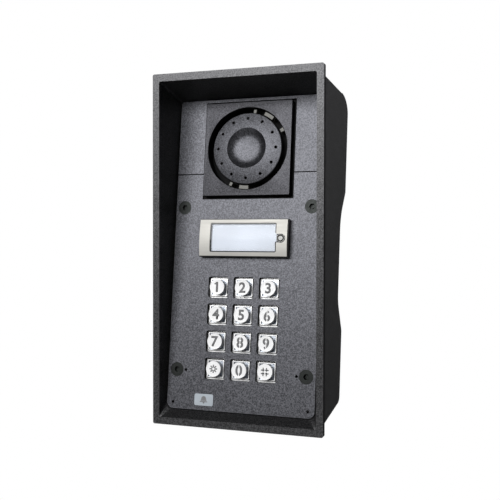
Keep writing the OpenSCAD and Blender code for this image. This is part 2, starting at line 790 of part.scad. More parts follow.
module keypad_mat() {
    color([0.75, 0.75, 0.72]) stand() {
        block(2 * key_dx + key_flange + 2, 3 * key_dz + key_flange + 2, key_board_front,
            key_board_front + mat_t, 0, keypad_y);
        for (i = [0:11]) translate([key_x(i), key_y(i), key_board_front])
            cylinder(r1 = 4.4, r2 = 2.6, h = dome_z - key_board_front);
    }
}

module keypad_board() {
    edge = 3.5;
    ear = button_y - button_h / 2;
    color([0.05, 0.25, 0.12]) stand() difference() {
        union() {
            block(2 * (low_post[0] + edge), key_board_y[1] - key_board_y[0], keypad_board_z,
                key_board_front, 0, (key_board_y[0] + key_board_y[1]) / 2);
            block(2 * (high_post[0] + edge), key_board_y[1] - ear, keypad_board_z, key_board_front,
                0, (key_board_y[1] + ear) / 2);
        }
        for (p = keypad_posts) rod(p[0], p[1], small_screw_r + 0.2, keypad_board_z - 1, key_board_front + 1);
    }
}

module keypad_board_screws() {
    color([0.7, 0.7, 0.72]) stand() for (p = keypad_posts) small_screw(p, keypad_board_z);
}

module board_stacker() {
    color([0.08, 0.08, 0.08]) stand() {
        block(20, 5, main_board_front, keypad_board_z, 0, keypad_y);
        block(23, 7, main_board_front, main_board_front + 6, 0, keypad_y);
    }
}

module main_board() {
    color([0.05, 0.25, 0.12]) stand() difference() {
        block(main_board_w, main_board_y[1] - main_board_y[0], main_board_z, main_board_front, 0,
            (main_board_y[0] + main_board_y[1]) / 2);
        for (p = main_posts) rod(p[0], p[1], 1.45, main_board_z - 1, main_board_front + 1);
    }
}

module main_board_screws() {
    color([0.7, 0.7, 0.72]) stand() for (p = main_posts) translate([p[0], p[1], 0]) difference() {
        union() {
            rod(0, 0, 2.4, main_board_front, main_board_front + 1.6);
            rod(0, 0, 1.25, main_board_front - 5, main_board_front + 0.5);
        }
        translate([0, 0, main_board_front + 0.6]) cylinder(r = 1.1, h = 2, $fn = 6);
    }
}

module terminal_blocks() {
    pole = 5;
    poles = 4;
    color([0.15, 0.45, 0.22]) stand() for (s = [-1, 1])
        translate([s * 12, main_board_y[0] + 6, main_board_front]) difference() {
            block(pole * poles, 8.4, 0, 11);
            for (i = [0:poles - 1]) {
                x = (i - (poles - 1) / 2) * pole;
                rod(x, 0.8, 1.9, 7, 12);
                block(3.4, 4, 1.5, 5.5, x, -4);
            }
        }
}

module relay() {
    color([0.1, 0.2, 0.55]) stand() block(15.5, 19, main_board_front, main_board_front + 15, -20, 12);
}

module capacitors() {
    color([0.12, 0.12, 0.2]) stand() for (c = [[16, 20, 4], [26, 20, 4], [21, 6, 5]])
        translate([c[0], c[1], main_board_front]) difference() {
            cylinder(r = c[2], h = 12);
            translate([0, 0, 1.4]) rotate_extrude() translate([c[2] + 0.15, 0]) circle(0.4, $fn = 16);
        }
}

module network_jack() {
    color([0.7, 0.72, 0.74]) stand() difference() {
        block(16, 18, main_board_front, main_board_front + 13.4, 22, -14);
        block(12, 12, main_board_front + 2.4, main_board_front + 10, 22, -19);
    }
}

module processor_chips() {
    color([0.06, 0.06, 0.07]) stand() {
        block(14, 14, main_board_front, main_board_front + 1.4, -4, -12);
        block(10, 8, main_board_front, main_board_front + 1.1, -22, -10);
        block(6, 5, main_board_front, main_board_front + 1.5, 4, 10);
    }
}

module microphone() {
    color([0.65, 0.66, 0.67]) stand() rod(mic[0], mic[1], mic_r, mic_back, panel_back - 1);
}

module microphone_boot() {
    color([0.04, 0.04, 0.04]) stand() difference() {
        rod(mic[0], mic[1], mic_boot_r, mic_back, panel_back - 0.02);
        rod(mic[0], mic[1], mic_r + 0.02, mic_back - 1, panel_back - 0.98);
        rod(mic[0] - 0.2, mic[1], 0.7, mic_back, panel_back + 1);
    }
}

housing();
panel_gasket();
upper_panel();
lower_panel();
panel_screws();
badge();
speaker_frame();
speaker_cover();
speaker_disc();
speaker_mesh();
grille_clips();
speaker_basket();
speaker_cone();
speaker_magnet();
speaker_screws();
button_plate();
button_window();
name_card();
button_body();
button_screw();
button_switches();
keypad_mat();
keypad_board();
keypad_board_screws();
board_stacker();
main_board();
main_board_screws();
terminal_blocks();
relay();
capacitors();
network_jack();
processor_chips();
microphone();
microphone_boot();
cable_grommet();
for (i = [0:11]) key_cap(i);
for (i = [0:11]) key_face(i);
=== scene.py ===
import bpy
import json
import math
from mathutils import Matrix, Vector

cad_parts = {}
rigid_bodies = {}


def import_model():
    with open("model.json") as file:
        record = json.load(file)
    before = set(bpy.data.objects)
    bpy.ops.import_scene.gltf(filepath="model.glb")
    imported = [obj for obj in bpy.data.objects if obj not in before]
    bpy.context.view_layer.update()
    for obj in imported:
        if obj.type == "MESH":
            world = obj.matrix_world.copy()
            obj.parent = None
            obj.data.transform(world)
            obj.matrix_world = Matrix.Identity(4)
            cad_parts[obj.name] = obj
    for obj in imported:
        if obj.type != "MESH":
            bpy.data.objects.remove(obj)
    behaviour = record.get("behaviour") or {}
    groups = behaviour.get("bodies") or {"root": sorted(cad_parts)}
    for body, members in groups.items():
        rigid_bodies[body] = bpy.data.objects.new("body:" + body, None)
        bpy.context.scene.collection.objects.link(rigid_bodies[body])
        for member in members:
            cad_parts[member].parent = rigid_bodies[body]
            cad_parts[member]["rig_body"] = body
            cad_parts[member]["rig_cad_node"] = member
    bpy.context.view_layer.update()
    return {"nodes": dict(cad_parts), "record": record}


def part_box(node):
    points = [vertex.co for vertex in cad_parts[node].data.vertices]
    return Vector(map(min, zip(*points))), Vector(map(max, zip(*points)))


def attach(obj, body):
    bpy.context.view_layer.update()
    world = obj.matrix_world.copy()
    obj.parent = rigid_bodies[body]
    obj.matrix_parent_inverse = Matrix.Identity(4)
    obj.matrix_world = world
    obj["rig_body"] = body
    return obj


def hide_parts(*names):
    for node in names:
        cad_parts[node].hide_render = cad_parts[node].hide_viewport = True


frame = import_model()
cadNodes = frame["nodes"]
mm = 0.001

bodyOf = {node: body for body, nodes in frame["record"]["behaviour"]["bodies"].items() for node in nodes}


def clearSelection():
    if bpy.context.object and bpy.context.object.mode != "OBJECT":
        bpy.ops.object.mode_set(mode="OBJECT")
    bpy.ops.object.select_all(action="DESELECT")


def pick(piece):
    clearSelection()
    piece.select_set(True)
    bpy.context.view_layer.objects.active = piece


def pickFaces(piece, test):
    # leaves the piece in edit mode with the faces that pass the test selected
    pick(piece)
    bpy.ops.object.mode_set(mode="EDIT")
    bpy.ops.mesh.select_mode(type="FACE")
    bpy.ops.mesh.select_all(action="DESELECT")
    bpy.ops.object.mode_set(mode="OBJECT")
    for face in piece.data.polygons:
        face.select = test(face)
    bpy.ops.object.mode_set(mode="EDIT")


def pickEdges(piece, test):
    # the test is given the edge's two ends
    pick(piece)
    bpy.ops.object.mode_set(mode="EDIT")
    bpy.ops.mesh.select_mode(type="EDGE")
    bpy.ops.mesh.select_all(action="DESELECT")
    bpy.ops.object.mode_set(mode="OBJECT")
    points = piece.data.vertices
    for edge in piece.data.edges:
        edge.select = test(points[edge.vertices[0]].co, points[edge.vertices[1]].co)
    bpy.ops.object.mode_set(mode="EDIT")


def stopEditing():
    bpy.ops.object.mode_set(mode="OBJECT")


def frontFace(piece):
    # the flat face that looks at the visitor
    nearest = min(face.center.y for face in piece.data.polygons)
    return lambda face: face.normal.y < -0.9 and face.center.y < nearest + 0.005 * mm


def roundEdges(piece, width, segments=2, angle=35):
    pick(piece)
    bevel = piece.modifiers.new("Bevel", "BEVEL")
    bevel.width = width
    bevel.segments = segments
    bevel.limit_method = "ANGLE"
    bevel.angle_limit = math.radians(angle)
    bpy.ops.object.modifier_apply(modifier=bevel.name)
    bpy.ops.object.shade_smooth_by_angle(angle=math.radians(40))
    weigh = piece.modifiers.new("Weighted Normal", "WEIGHTED_NORMAL")
    weigh.keep_sharp = True
    bpy.ops.object.modifier_apply(modifier=weigh.name)


def settle(piece, name, body):
    # place goes into the mesh, then the piece is given its body
    piece.name = name
    piece.data.name = name
    pick(piece)
    bpy.ops.object.transform_apply(location=True, rotation=True, scale=True)
    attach(piece, body)
    return piece


def paint(piece, material):
    piece.data.materials.clear()
    piece.data.materials.append(material)


def paintFaces(piece, material, test):
    # a second finish on some of a piece's faces
    piece.data.materials.append(material)
    pickFaces(piece, test)
    piece.active_material_index = len(piece.data.materials) - 1
    bpy.ops.object.material_slot_assign()
    stopEditing()


def copyTo(piece, shift):
    clearSelection()
    twin = piece.copy()
    twin.data = piece.data.copy()
    bpy.context.scene.collection.objects.link(twin)
    twin.location = shift
    return twin


def softEdged(node, width, segments=2, angle=35):
    # a merged copy of a CAD node with its edges broken, so that they catch the light
    piece = cadNodes[node].copy()
    piece.data = cadNodes[node].data.copy()
    bpy.context.scene.collection.objects.link(piece)
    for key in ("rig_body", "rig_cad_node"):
        del piece[key]
    piece.parent = None
    pick(piece)
    bpy.ops.object.mode_set(mode="EDIT")
    bpy.ops.mesh.select_all(action="SELECT")
    bpy.ops.mesh.remove_doubles(threshold=0.002 * mm)
    bpy.ops.mesh.dissolve_limited(angle_limit=math.radians(0.6))
    stopEditing()
    if width > 0:
        roundEdges(piece, width, segments, angle)
    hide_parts(node)
    return piece


def newMaterial(name):
    material = bpy.data.materials.new(name)
    material.use_nodes = True
    return material


def addNode(material, kind, **settings):
    node = material.node_tree.nodes.new(kind)
    for key, value in settings.items():
        if key in node.inputs:
            node.inputs[key].default_value = value
        else:
            setattr(node, key, value)
    return node


def link(material, output, target):
    material.node_tree.links.new(output, target)


def principled(material):
    return material.node_tree.nodes["Principled BSDF"]


def noise(material, scale, detail=2.0, roughness=0.5, stretch=(1, 1, 1)):
    place = addNode(material, "ShaderNodeTexCoord")
    mapping = addNode(material, "ShaderNodeMapping", Scale=stretch)
    node = addNode(material, "ShaderNodeTexNoise", Scale=scale, Detail=detail, Roughness=roughness)
    link(material, place.outputs["Object"], mapping.inputs["Vector"])
    link(material, mapping.outputs["Vector"], node.inputs["Vector"])
    return node.outputs["Fac"]


def ramp(material, fac, low, high, lowColor, highColor):
    node = addNode(material, "ShaderNodeValToRGB")
    node.color_ramp.elements[0].position = low
    node.color_ramp.elements[1].position = high
    node.color_ramp.elements[0].color = lowColor
    node.color_ramp.elements[1].color = highColor
    link(material, fac, node.inputs["Fac"])
    return node.outputs["Color"]


def spread(material, fac, low, high):
    node = addNode(material, "ShaderNodeMapRange")
    node.inputs["From Min"].default_value = 0.3
    node.inputs["From Max"].default_value = 0.7
    node.inputs["To Min"].default_value = low
    node.inputs["To Max"].default_value = high
    link(material, fac, node.inputs["Value"])
    return node.outputs["Result"]


def blendColors(material, factor, first, second):
    node = addNode(material, "ShaderNodeMix", data_type="RGBA", blend_type="MIX")
    for value, name in ((factor, "Factor"), (first, "A"), (second, "B")):
        if isinstance(value, (int, float, tuple)):
            node.inputs[name].default_value = value
        else:
            link(material, value, node.inputs[name])
    return node.outputs["Result"]


def bump(material, heights):
    # heights are (socket, strength, distance), each laid over the one before
    normal = None
    for height, strength, distance in heights:
        node = addNode(material, "ShaderNodeBump", Strength=strength, Distance=distance)
        link(material, height, node.inputs["Height"])
        if normal:
            link(material, normal, node.inputs["Normal"])
        normal = node.outputs["Normal"]
    link(material, normal, principled(material).inputs["Normal"])


def tone(color, factor):
    return tuple(min(1.0, c * factor) for c in color[:3]) + (1.0,)


# fine-textured powder coat, thinner on sharp edges
def powderCoat(name, look):
    coat = newMaterial(name)
    shader = principled(coat)
    shader.inputs["Metallic"].default_value = look["metallic"]
    mottle = noise(coat, look["mottleScale"], 4.0, 0.6)
    speck = noise(coat, look["speckScale"], 3.0, 0.65)
    plain = look["color"]
    base = ramp(coat, mottle, 0.35, 0.65, tone(plain, look["dark"]), tone(plain, look["light"]))
    flecks = ramp(coat, speck, 0.4, 0.64, tone(plain, look["pit"]), tone(plain, look["fleck"]))
    color = blendColors(coat, look["fleckMix"], base, flecks)
    edge = addNode(coat, "ShaderNodeBevel", Radius=look["wearRadius"])
    geometry = addNode(coat, "ShaderNodeNewGeometry")
    dot = addNode(coat, "ShaderNodeVectorMath", operation="DOT_PRODUCT")
    link(coat, edge.outputs["Normal"], dot.inputs[0])
    link(coat, geometry.outputs["Normal"], dot.inputs[1])
    worn = ramp(coat, dot.outputs["Value"], 0.86, 0.99, (1, 1, 1, 1), (0, 0, 0, 1))
    grit = ramp(coat, noise(coat, 900, 3.0), 0.45, 0.62, (0, 0, 0, 1), tone((1, 1, 1), look["wear"]))
    rubbed = addNode(coat, "ShaderNodeMath", operation="MULTIPLY")
    link(coat, worn, rubbed.inputs[0])
    link(coat, grit, rubbed.inputs[1])
    color = blendColors(coat, rubbed.outputs["Value"], color, look["wearColor"])
    link(coat, color, shader.inputs["Base Color"])
    link(coat, spread(coat, speck, look["rough"][0], look["rough"][1]), shader.inputs["Roughness"])
    bump(coat, [(noise(coat, look["peelScale"], 2.0, 0.5), look["peel"], 0.06 * mm),
                (noise(coat, look["grainScale"], 2.0, 0.6), look["grain"], 0.03 * mm)])
    return coat


def metal(name, look):
    finish = newMaterial(name)
    shader = principled(finish)
    shader.inputs["Metallic"].default_value = look.get("metallic", 1.0)
    streak = noise(finish, look["streakScale"], 3.0, 0.6, look["stretch"])
    cloud = noise(finish, look["cloudScale"], 3.0, 0.5)
    color = look["color"]
    tint = ramp(finish, cloud, 0.3, 0.7, tone(color, look.get("dark", 0.9)), tone(color, 1.05))
    link(finish, tint, shader.inputs["Base Color"])
    link(finish, spread(finish, streak, look["rough"][0], look["rough"][1]), shader.inputs["Roughness"])
    bump(finish, [(streak, look["brush"], 0.01 * mm)])
    return finish


def plastic(name, look):
    finish = newMaterial(name)
    shader = principled(finish)
    shader.inputs["IOR"].default_value = look.get("ior", 1.48)
    shader.inputs["Alpha"].default_value = look.get("alpha", 1.0)
    cloud = noise(finish, look.get("cloudScale", 60), 4.0, 0.6)
    color = look["color"]
    tint = ramp(finish, cloud, 0.3, 0.7, tone(color, look.get("dark", 0.88)), tone(color, 1.08))
    link(finish, tint, shader.inputs["Base Color"])
    if look.get("glow"):
        link(finish, tint, shader.inputs["Emission Color"])
        shader.inputs["Emission Strength"].default_value = look["glow"]
    fine = noise(finish, look.get("grainScale", 2200), 2.0, 0.5)
    link(finish, spread(finish, fine, look["rough"][0], look["rough"][1]), shader.inputs["Roughness"])
    bump(finish, [(fine, look.get("grain", 0.15), 0.01 * mm)])
    return finish


# painted shade: a dark line round the window's edge, standing in for the shaded gap between window and plate,
# left open where its tab reaches the screw, sizes in mm
def paintEdgeShade(finish, node, look):
    low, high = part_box(node)
    middle = (low + high) / 2
    halfWide = look["right"] / 2 * mm - low.x
    split = addNode(finish, "ShaderNodeSeparateXYZ")
    link(finish, addNode(finish, "ShaderNodeTexCoord").outputs["Object"], split.inputs[0])
    fromMiddle = calculate(finish, "SUBTRACT", split.outputs["X"], look["right"] / 2 * mm)
    aside = calculate(finish, "ABSOLUTE", fromMiddle)
    upright = calculate(finish, "ABSOLUTE", calculate(finish, "SUBTRACT", split.outputs["Z"], middle.z))
    pastSide = calculate(finish, "GREATER_THAN", aside, halfWide - look["line"] * mm)
    pastEnd = calculate(finish, "GREATER_THAN", upright, (high.z - low.z) / 2 - look["line"] * mm)
    inTab = calculate(finish, "MULTIPLY", calculate(finish, "GREATER_THAN", fromMiddle, 0.0),
                      calculate(finish, "LESS_THAN", upright, look["tab"] * mm))
    side = calculate(finish, "SUBTRACT", pastSide, inTab)
    edge = calculate(finish, "MAXIMUM", side, pastEnd)
    shader = principled(finish)
    clear = shader.inputs["Alpha"].default_value
    plain = shader.inputs["Base Color"].links[0].from_socket
    link(finish, blendColors(finish, edge, plain, tone(look["color"], 1.0)), shader.inputs["Base Color"])
    opaque = calculate(finish, "MULTIPLY", edge, 1 - clear)
    link(finish, calculate(finish, "ADD", opaque, clear), shader.inputs["Alpha"])


def calculate(finish, operation, first, second=0.0):
    node = addNode(finish, "ShaderNodeMath")
    node.operation = operation
    for socket, value in zip(node.inputs, (first, second)):
        if isinstance(value, float):
            socket.default_value = value
        else:
            link(finish, value, socket)
    return node.outputs[0]


# solder mask with its copper tracks showing through as paler lines
def solderMask(name, look):
    board = newMaterial(name)
    tracks = addNode(board, "ShaderNodeTexBrick", Scale=look["trackScale"])
    tracks.inputs["Color1"].default_value = tone(look["color"], 1.0)
    tracks.inputs["Color2"].default_value = tone(look["color"], 0.8)
    tracks.inputs["Mortar"].default_value = tone(look["color"], 2.2)
    tracks.inputs["Mortar Size"].default_value = 0.02
    place = addNode(board, "ShaderNodeTexCoord")
    turn = addNode(board, "ShaderNodeMapping", Rotation=(math.radians(90), 0, 0))
    link(board, place.outputs["Object"], turn.inputs["Vector"])
    link(board, turn.outputs["Vector"], tracks.inputs["Vector"])
    link(board, tracks.outputs["Color"], principled(board).inputs["Base Color"])
    link(board, spread(board, noise(board, 120), 0.3, 0.45), principled(board).inputs["Roughness"])
    bump(board, [(tracks.outputs["Fac"], 0.3, 0.03 * mm)])
    return board


coatLook = {"color": (0.077, 0.077, 0.08), "metallic": 0.92, "mottleScale": 14, "dark": 0.9, "light": 1.1,
            "speckScale": 1450, "pit": 0.45, "fleck": 2.2, "fleckMix": 0.7, "rough": (0.36, 0.5),
            "peelScale": 800, "peel": 0.3, "grainScale": 1800, "grain": 0.5,
            "wear": 0.2, "wearRadius": 0.3 * mm, "wearColor": (0.16, 0.16, 0.165, 1)}
castingCoat = powderCoat("castingCoat", coatLook)
# painted shade: a near-black copy of the casting coat, laid on the rim's outer sides
shadedCoat = powderCoat("shadedCoat", dict(coatLook, color=(0.014, 0.014, 0.015)))    # round the rim's sides
# painted highlight: a lighter copy of the casting coat, laid on the lower lip of the recess
rubbedCoat = powderCoat("rubbedCoat", dict(coatLook, color=(0.32, 0.32, 0.33), rough=(0.4, 0.55)))
panelCoat = powderCoat("panelCoat", dict(coatLook, color=(0.073, 0.074, 0.082)))
coverCoat = powderCoat("coverCoat", dict(coatLook, color=(0.047, 0.047, 0.052)))
satinNickel = metal("satinNickel", {"color": (0.53, 0.52, 0.49), "metallic": 0.62, "streakScale": 60,
                                    "stretch": (1, 1, 22), "cloudScale": 25, "rough": (0.5, 0.6),
                                    "brush": 0.12})
screwSteel = metal("screwSteel", {"color": (0.12, 0.12, 0.117), "streakScale": 400, "stretch": (1, 1, 1),
                                  "cloudScale": 300, "rough": (0.2, 0.3), "brush": 0.1})
brightChrome = metal("brightChrome", {"color": (0.83, 0.84, 0.86), "streakScale": 300, "stretch": (1, 1, 1),
                                      "cloudScale": 60, "rough": (0.14, 0.22), "brush": 0.05})
# painted reflection: the key rim's chrome is given a near-white, part-diffuse colour standing in for the
# light it reflects
keyRimMetal = metal("keyRimMetal", {"color": (0.96, 0.96, 0.97), "metallic": 0.4, "streakScale": 300,
                                    "stretch": (1, 1, 1), "cloudScale": 80, "rough": (0.25, 0.34),
                                    "brush": 0.05})
# painted shade: the pocket round the white face is given a darker bluish metal where it lies in shadow
keyPocketMetal = metal("keyPocketMetal", {"color": (0.5, 0.54, 0.6), "streakScale": 300, "stretch": (1, 1, 1),
                                          "cloudScale": 200, "rough": (0.2, 0.3), "brush": 0.08})
zincSteel = metal("zincSteel", {"color": (0.55, 0.56, 0.58), "streakScale": 200, "stretch": (1, 1, 3),
                                "cloudScale": 90, "rough": (0.25, 0.4), "brush": 0.15})
blackSteel = metal("blackSteel", {"color": (0.022, 0.024, 0.023), "metallic": 0.9, "streakScale": 500,
                                  "stretch": (1, 1, 1), "cloudScale": 300, "rough": (0.36, 0.48),
                                  "brush": 0.25})
badgeSatin = metal("badgeSatin", {"color": (0.4, 0.44, 0.48), "metallic": 0.7, "streakScale": 120,
                                  "stretch": (12, 1, 1), "cloudScale": 90, "rough": (0.38, 0.5),
                                  "brush": 0.1})
blackPlastic = plastic("blackPlastic", {"color": (0.008, 0.008, 0.0085), "rough": (0.4, 0.55), "grain": 0.25})
sootBlack = plastic("sootBlack", {"color": (0.003, 0.003, 0.0032), "rough": (0.6, 0.75), "grain": 0.25,
                                  "ior": 1.3})
blackRubber = plastic("blackRubber", {"color": (0.016, 0.016, 0.016), "rough": (0.6, 0.78), "grain": 0.4,
                                      "grainScale": 1500})
ivoryPlastic = plastic("ivoryPlastic", {"color": (0.14, 0.137, 0.12), "rough": (0.35, 0.5)})
coneFabric = plastic("coneFabric", {"color": (0.02, 0.018, 0.017), "rough": (0.75, 0.9), "grain": 0.6,
                                    "grainScale": 900})
greySilicone = plastic("greySilicone", {"color": (0.55, 0.55, 0.52), "rough": (0.45, 0.6)})
greenPlastic = plastic("greenPlastic", {"color": (0.05, 0.24, 0.09), "rough": (0.35, 0.5)})
bluePlastic = plastic("bluePlastic", {"color": (0.03, 0.07, 0.3), "rough": (0.3, 0.45)})
canSleeve = plastic("canSleeve", {"color": (0.02, 0.02, 0.05), "rough": (0.2, 0.3)})
whiteKey = plastic("whiteKey", {"color": (0.87, 0.87, 0.875), "dark": 0.96, "rough": (0.22, 0.32),
                                "grain": 0.08, "glow": 0.12})
# painted shade: a darker blue-grey for the side wall of the white key face
keySide = plastic("keySide", {"color": (0.36, 0.38, 0.42), "rough": (0.4, 0.5), "grain": 0.1})
legendInk = plastic("legendInk", {"color": (0.2, 0.2, 0.205), "rough": (0.5, 0.65), "cloudScale": 400})
cardPaper = plastic("cardPaper", {"color": (0.8, 0.84, 0.91), "dark": 0.97, "rough": (0.6, 0.75),
                                  "grain": 0.2, "glow": 0.14})
clearWindow = plastic("clearWindow", {"color": (0.8, 0.85, 0.92), "dark": 0.98, "rough": (0.06, 0.1),
                                      "grain": 0.02, "alpha": 0.16, "ior": 1.4})
# painted shade round the window's edge
paintEdgeShade(clearWindow, "button_window", {"line": 0.55, "tab": 2.6, "right": 0.1,
                                          "color": (0.05, 0.05, 0.05)})
circuitBoard = solderMask("circuitBoard", {"color": (0.02, 0.11, 0.045), "trackScale": 90})
print("materials made")

nodeFinish = {
    "housing": castingCoat, "panel_gasket": blackRubber, "upper_panel": panelCoat, "lower_panel": panelCoat,
    "panel_screws": blackSteel, "badge": badgeSatin, "speaker_frame": sootBlack, "speaker_cover": coverCoat,
    "speaker_disc": panelCoat, "speaker_mesh": sootBlack, "grille_clips": ivoryPlastic,
    "speaker_basket": zincSteel, "speaker_cone": coneFabric, "speaker_magnet": zincSteel,
    "speaker_screws": zincSteel, "button_plate": satinNickel, "button_window": clearWindow,
    "name_card": cardPaper, "button_body": blackPlastic, "button_screw": brightChrome,
    "button_switches": blackPlastic, "keypad_mat": greySilicone, "keypad_board": circuitBoard,
    "keypad_board_screws": zincSteel, "board_stacker": blackPlastic, "main_board": circuitBoard,
    "main_board_screws": zincSteel, "terminal_blocks": greenPlastic, "relay": bluePlastic,
    "capacitors": canSleeve, "network_jack": zincSteel, "processor_chips": blackPlastic,
    "microphone": zincSteel, "microphone_boot": blackRubber, "cable_grommet": blackRubber,
}
for node, part in cadNodes.items():
    paint(part, nodeFinish.get(node) or (brightChrome if node.startswith("key_cap_") else whiteKey))
print("CAD nodes painted")


def sideways(face):
    return abs(face.normal.y) < 0.35


# castings, pressed plates and mouldings: edge radius in mm, and the plates whose side walls get soot black as
# painted shade
edgeRadius = {"housing": 0.55, "upper_panel": 0.25, "lower_panel": 0.25, "speaker_cover": 0.35,
              "speaker_disc": 0.25, "button_plate": 0.2, "button_body": 0.25, "panel_screws": 0.12,
              "badge": 0.15, "speaker_frame": 0.15}
paintedShadeSides = ["upper_panel", "lower_panel", "speaker_cover", "speaker_disc", "button_plate"]


def finishCasting(node):
    piece = softEdged(node, edgeRadius[node] * mm, 3 if node == "housing" else 2)
    paint(piece, nodeFinish[node])
    # painted shade: the side walls of these plates are given soot black where they lie in shade
    if node in paintedShadeSides:
        paintFaces(piece, sootBlack, sideways)
    if node == "housing":
        low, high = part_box(node)
        # painted shade: the rim's outer side faces get the near-black copy of the coat
        paintFaces(piece, shadedCoat, lambda face: abs(face.center.x) > high.x - 0.3 * mm
                   and abs(face.normal.x) > 0.5)
        # painted highlight: a lighter copy of the coat along the lower lip of the recess, standing in for the
        # light that edge catches
        paintFaces(piece, rubbedCoat, lambda face: low.z + 2 * mm < face.center.z < low.z + 9 * mm
                   and face.center.y < -0.055 and face.normal.z > 0.3 and face.normal.y < -0.3)
    return settle(piece, node + "_finished", bodyOf[node])


for node in edgeRadius:
    finishCasting(node)
print("castings and plates finished")

# square metal key caps with a raised rim round a pocket, sizes in mm
capShape = {"side": 11.8, "corner": 0.6, "rim": 0.6, "taper": 0.93, "pocket": 0.9, "draft": 0.97,
            "flange": 14.5, "flangeAt": 1.5, "flangeDepth": 1.2, "stem": 3.0, "stemAt": 2.0, "edge": 0.13}
faceShape = {"rim": 0.55, "dish": 0.15, "palm": 1.2, "palmDrop": 0.05, "edge": 0.2, "footAt": 0.7}
keyNames = ["1", "2", "3", "4", "5", "6", "7", "8", "9", "star", "0", "hash"]


def modelKeyCap(key):
    low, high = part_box("key_cap_" + key)
    middle = (low + high) / 2
    top = low.y
    depth = capShape["flangeAt"] * mm
    clearSelection()
    bpy.ops.mesh.primitive_cube_add(size=1, location=(middle.x, top + depth / 2, middle.z))
    cap = bpy.context.object
    cap.scale = (capShape["side"] * mm, depth, capShape["side"] * mm)
    bpy.ops.object.transform_apply(location=True, rotation=True, scale=True)
    pickEdges(cap, lambda a, b: abs(a.y - b.y) > 0.5 * depth)
    bpy.ops.mesh.bevel(offset=capShape["corner"] * mm, segments=3, affect="EDGES")
    stopEditing()
    pickFaces(cap, frontFace(cap))
    bpy.ops.transform.resize(value=(capShape["taper"], 1, capShape["taper"]))
    bpy.ops.mesh.inset(thickness=capShape["rim"] * mm)
    bpy.ops.mesh.extrude_region_move(TRANSFORM_OT_translate={"value": (0, capShape["pocket"] * mm, 0)})
    bpy.ops.transform.resize(value=(capShape["draft"], 1, capShape["draft"]))
    stopEditing()
    pickFaces(cap, lambda face: face.normal.y > 0.9 and face.center.y > top + 0.99 * depth)
    bpy.ops.mesh.extrude_region_move(TRANSFORM_OT_translate={"value": (0, 0, 0)})
    grow = capShape["flange"] / capShape["side"]
    bpy.ops.transform.resize(value=(grow, 1, grow))
    bpy.ops.mesh.extrude_region_move(TRANSFORM_OT_translate={"value": (0, capShape["flangeDepth"] * mm, 0)})
    stopEditing()
    bpy.ops.object.mode_set(mode="EDIT")
    bpy.ops.mesh.select_all(action="SELECT")
    bpy.ops.mesh.normals_make_consistent(inside=False)
    stopEditing()
    clearSelection()
    stemTop = top + capShape["stemAt"] * mm
    bpy.ops.mesh.primitive_cylinder_add(vertices=32, radius=capShape["stem"] * mm, depth=high.y - stemTop,
                                        location=(middle.x, (high.y + stemTop) / 2, middle.z),
                                        rotation=(math.radians(90), 0, 0))
    stem = bpy.context.object
    bpy.ops.object.transform_apply(location=True, rotation=True, scale=True)
    stem.select_set(True)
    cap.select_set(True)
    bpy.context.view_layer.objects.active = cap
    bpy.ops.object.join()
    roundEdges(cap, capShape["edge"] * mm, 2)
    # painted reflection: the rim gets the near-white colour
    paint(cap, keyRimMetal)
    # painted shade: the cap's outer side walls are given soot black, where the gap round the key lies in
    # shade
    outer = (capShape["side"] / 2 - 0.5) * mm
    paintFaces(cap, sootBlack, lambda face: abs(face.normal.y) < 0.6
               and max(abs(face.center.x - middle.x), abs(face.center.z - middle.z)) > outer)
    inner = (capShape["taper"] * capShape["side"] / 2 - capShape["rim"] - 0.05) * mm
    # painted shade: the pocket faces get the darker metal
    paintFaces(cap, keyPocketMetal, lambda face: abs(face.center.x - middle.x) < inner
               and abs(face.center.z - middle.z) < inner and face.center.y > top + 0.2 * mm)
    return cap


def modelKeyFace(key):
    low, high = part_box("key_face_" + key)
    middle = (low + high) / 2
    clearSelection()
    bpy.ops.mesh.primitive_cylinder_add(vertices=72, radius=(high.x - low.x) / 2, depth=high.y - low.y,
                                        location=middle, rotation=(math.radians(90), 0, 0))
    face = bpy.context.object
    bpy.ops.object.transform_apply(location=True, rotation=True, scale=True)
    pickFaces(face, frontFace(face))
    bpy.ops.mesh.inset(thickness=faceShape["rim"] * mm)
    bpy.ops.transform.translate(value=(0, faceShape["dish"] * mm, 0))   # shallow dish for the finger
    bpy.ops.mesh.inset(thickness=faceShape["palm"] * mm)
    bpy.ops.transform.translate(value=(0, faceShape["palmDrop"] * mm, 0))
    stopEditing()
    roundEdges(face, faceShape["edge"] * mm, 3, 50)
    paint(face, whiteKey)
    foot = low.y + faceShape["footAt"] * mm
    # painted shade: the face's side wall above its foot gets the darker blue-grey
    paintFaces(face, keySide, lambda f: sideways(f) and f.center.y > foot)
    return face


# printed legends: stencil numerals, a star of short strokes and a broken hash, sizes in mm
legendShape = {"digit": 8.7, "bolder": 0.26, "thick": 0.05, "bridge": 0.28, "strokeWide": 0.85,
               "strokeLong": 1.75, "starRadius": 1.65, "hashPitch": 2.1, "hashLong": 5.0, "hashWide": 0.75,
               "hashGap": 0.22, "flagWide": 0.95, "flagLong": 2.1, "flagAside": -0.85, "flagDown": 0.95,
               "flagTurn": -52}
bridged = ["0", "6", "8", "9"]


